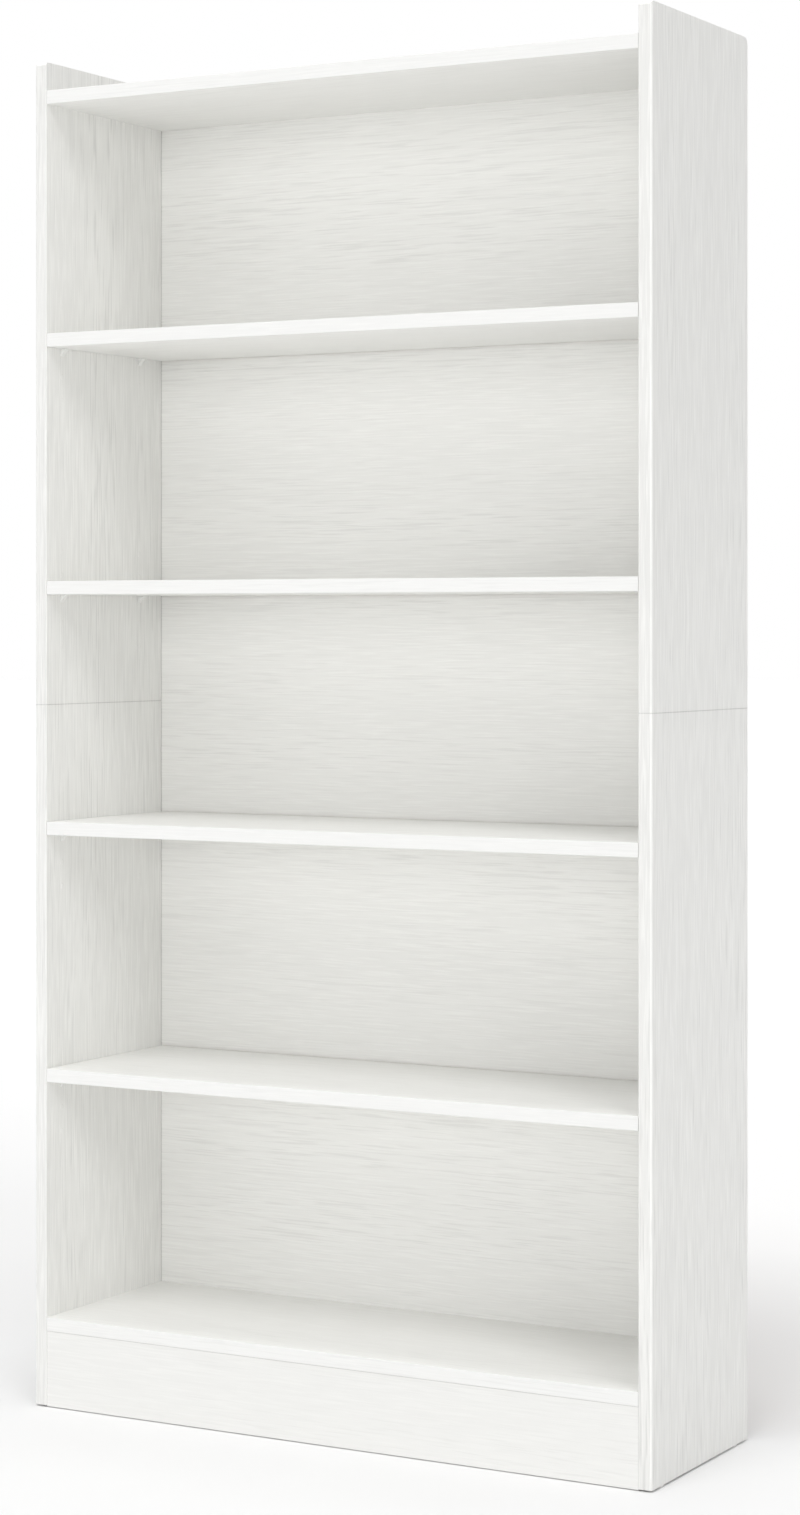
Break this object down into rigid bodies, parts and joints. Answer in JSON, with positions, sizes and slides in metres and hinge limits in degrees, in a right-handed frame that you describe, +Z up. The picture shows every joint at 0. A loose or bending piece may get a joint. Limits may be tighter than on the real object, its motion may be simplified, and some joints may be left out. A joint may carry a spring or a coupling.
{
  "type": "bookcase with adjustable shelves",
  "caption": "Tall white wood-grain bookcase with a recessed top board, shelves that lift off side supports, a plinth and a grooved back.",
  "frame": {"origin": "on the floor, under the middle of the footprint", "axes": "+X to the right, +Y from the open front to the back, +Z up"},
  "size_m": [0.9, 0.3, 1.8],
  "materials": {
    "side_foil": "white embossed wood-grain foil on particleboard, grain upright",
    "board_foil": "white embossed wood-grain foil on particleboard, grain along the board",
    "edge_band": "white embossed edge tape",
    "back_foil": "white wood-grain paper on thin hardboard, grain across",
    "white_plastic": "moulded white plastic",
    "support_plastic": "moulded white nylon",
    "cam_zinc": "die-cast zinc",
    "plated_steel": "zinc-plated sheet steel",
    "fastener_steel": "zinc-plated steel wire and screws",
    "beech": "turned beech dowel"
  },
  "bodies": {
    "carcass": {"left_side_lower": "side_foil", "left_side_upper": "side_foil", "right_side_lower": "side_foil", "right_side_upper": "side_foil", "top_board": "board_foil", "top_board_edge_band": "edge_band", "bottom_board": "board_foil", "bottom_board_edge_band": "edge_band", "plinth": "board_foil", "back_panel_1": "back_foil", "back_panel_2": "back_foil", "back_panel_3": "back_foil", "back_panel_4": "back_foil", "back_panel_5": "back_foil", "back_joint_strip_1": "white_plastic", "back_joint_strip_2": "white_plastic", "back_joint_strip_3": "white_plastic", "back_joint_strip_4": "white_plastic", "back_nails": "fastener_steel", "hole_caps": "white_plastic", "cam_locks": "cam_zinc", "cam_bolts": "fastener_steel", "cam_caps": "white_plastic", "board_dowels": "beech", "plinth_top_dowels": "beech", "seam_dowels": "beech", "seam_plates": "plated_steel", "seam_plate_screws": "fastener_steel", "wall_bracket_left": "plated_steel", "wall_bracket_right": "plated_steel", "wall_bracket_screws": "fastener_steel", "glides": "white_plastic", "glide_nails": "fastener_steel"},
    "shelf_1": {"shelf_1": "board_foil", "shelf_1_edge_band": "edge_band"},
    "shelf_2": {"shelf_2": "board_foil", "shelf_2_edge_band": "edge_band"},
    "shelf_3": {"shelf_3": "board_foil", "shelf_3_edge_band": "edge_band"},
    "shelf_4": {"shelf_4": "board_foil", "shelf_4_edge_band": "edge_band"},
    "support_1_left_front": {"support_1_left_front": "support_plastic"},
    "support_1_left_rear": {"support_1_left_rear": "support_plastic"},
    "support_1_right_front": {"support_1_right_front": "support_plastic"},
    "support_1_right_rear": {"support_1_right_rear": "support_plastic"},
    "support_2_left_front": {"support_2_left_front": "support_plastic"},
    "support_2_left_rear": {"support_2_left_rear": "support_plastic"},
    "support_2_right_front": {"support_2_right_front": "support_plastic"},
    "support_2_right_rear": {"support_2_right_rear": "support_plastic"},
    "support_3_left_front": {"support_3_left_front": "support_plastic"},
    "support_3_left_rear": {"support_3_left_rear": "support_plastic"},
    "support_3_right_front": {"support_3_right_front": "support_plastic"},
    "support_3_right_rear": {"support_3_right_rear": "support_plastic"},
    "support_4_left_front": {"support_4_left_front": "support_plastic"},
    "support_4_left_rear": {"support_4_left_rear": "support_plastic"},
    "support_4_right_front": {"support_4_right_front": "support_plastic"},
    "support_4_right_rear": {"support_4_right_rear": "support_plastic"}
  },
  "joints": [
    {"name": "shelf_1_lift", "type": "slide", "parent": "carcass", "child": "shelf_1", "axis": [0, 0, 1], "range_m": [0, 0.064]},
    {"name": "shelf_2_lift", "type": "slide", "parent": "carcass", "child": "shelf_2", "axis": [0, 0, 1], "range_m": [0, 0.064]},
    {"name": "shelf_3_lift", "type": "slide", "parent": "carcass", "child": "shelf_3", "axis": [0, 0, 1], "range_m": [0, 0.064]},
    {"name": "shelf_4_lift", "type": "slide", "parent": "carcass", "child": "shelf_4", "axis": [0, 0, 1], "range_m": [0, 0.064]},
    {"name": "support_1_left_front_pull", "type": "slide", "parent": "carcass", "child": "support_1_left_front", "axis": [1, 0, 0], "range_m": [0, 0.0095]},
    {"name": "support_1_left_rear_pull", "type": "slide", "parent": "carcass", "child": "support_1_left_rear", "axis": [1, 0, 0], "range_m": [0, 0.0095]},
    {"name": "support_1_right_front_pull", "type": "slide", "parent": "carcass", "child": "support_1_right_front", "axis": [-1, 0, 0], "range_m": [0, 0.0095]},
    {"name": "support_1_right_rear_pull", "type": "slide", "parent": "carcass", "child": "support_1_right_rear", "axis": [-1, 0, 0], "range_m": [0, 0.0095]},
    {"name": "support_2_left_front_pull", "type": "slide", "parent": "carcass", "child": "support_2_left_front", "axis": [1, 0, 0], "range_m": [0, 0.0095]},
    {"name": "support_2_left_rear_pull", "type": "slide", "parent": "carcass", "child": "support_2_left_rear", "axis": [1, 0, 0], "range_m": [0, 0.0095]},
    {"name": "support_2_right_front_pull", "type": "slide", "parent": "carcass", "child": "support_2_right_front", "axis": [-1, 0, 0], "range_m": [0, 0.0095]},
    {"name": "support_2_right_rear_pull", "type": "slide", "parent": "carcass", "child": "support_2_right_rear", "axis": [-1, 0, 0], "range_m": [0, 0.0095]},
    {"name": "support_3_left_front_pull", "type": "slide", "parent": "carcass", "child": "support_3_left_front", "axis": [1, 0, 0], "range_m": [0, 0.0095]},
    {"name": "support_3_left_rear_pull", "type": "slide", "parent": "carcass", "child": "support_3_left_rear", "axis": [1, 0, 0], "range_m": [0, 0.0095]},
    {"name": "support_3_right_front_pull", "type": "slide", "parent": "carcass", "child": "support_3_right_front", "axis": [-1, 0, 0], "range_m": [0, 0.0095]},
    {"name": "support_3_right_rear_pull", "type": "slide", "parent": "carcass", "child": "support_3_right_rear", "axis": [-1, 0, 0], "range_m": [0, 0.0095]},
    {"name": "support_4_left_front_pull", "type": "slide", "parent": "carcass", "child": "support_4_left_front", "axis": [1, 0, 0], "range_m": [0, 0.0095]},
    {"name": "support_4_left_rear_pull", "type": "slide", "parent": "carcass", "child": "support_4_left_rear", "axis": [1, 0, 0], "range_m": [0, 0.0095]},
    {"name": "support_4_right_front_pull", "type": "slide", "parent": "carcass", "child": "support_4_right_front", "axis": [-1, 0, 0], "range_m": [0, 0.0095]},
    {"name": "support_4_right_rear_pull", "type": "slide", "parent": "carcass", "child": "support_4_right_rear", "axis": [-1, 0, 0], "range_m": [0, 0.0095]}
  ]
}
